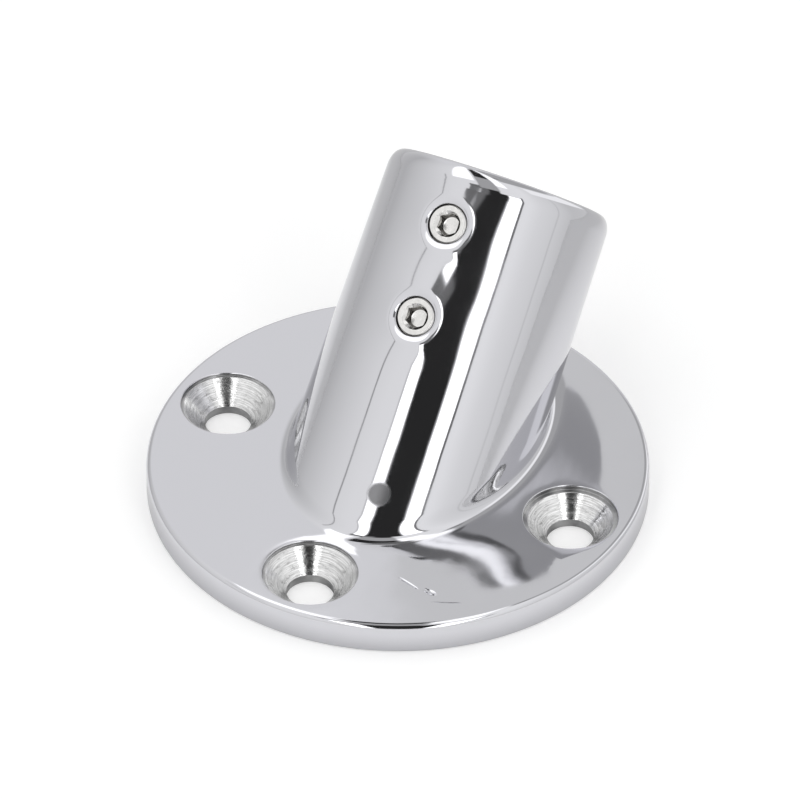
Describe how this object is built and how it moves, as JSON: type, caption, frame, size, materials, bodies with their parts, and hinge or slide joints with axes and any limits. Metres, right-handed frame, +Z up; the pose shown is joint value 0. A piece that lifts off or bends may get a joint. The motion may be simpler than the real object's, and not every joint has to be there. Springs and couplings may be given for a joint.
{
  "type": "tube clamp base flange",
  "caption": "Round polished base flange with a leaning socket that clamps a tube by set screws; countersunk holes fix it to a deck or wall.",
  "frame": {"origin": "centre of the round flange on its flat underside", "axes": "+Z up out of the flange's top face; the socket leans towards +X; the two side fixing holes lie on Y and the rear one on -X"},
  "size_m": [0.0835, 0.075, 0.0446],
  "materials": {
    "casting": "mirror-polished cast stainless steel",
    "set_screw": "bright turned stainless steel"
  },
  "bodies": {
    "root": {"base_casting": "casting", "upper_set_screw": "set_screw", "lower_set_screw": "set_screw"}
  },
  "joints": []
}
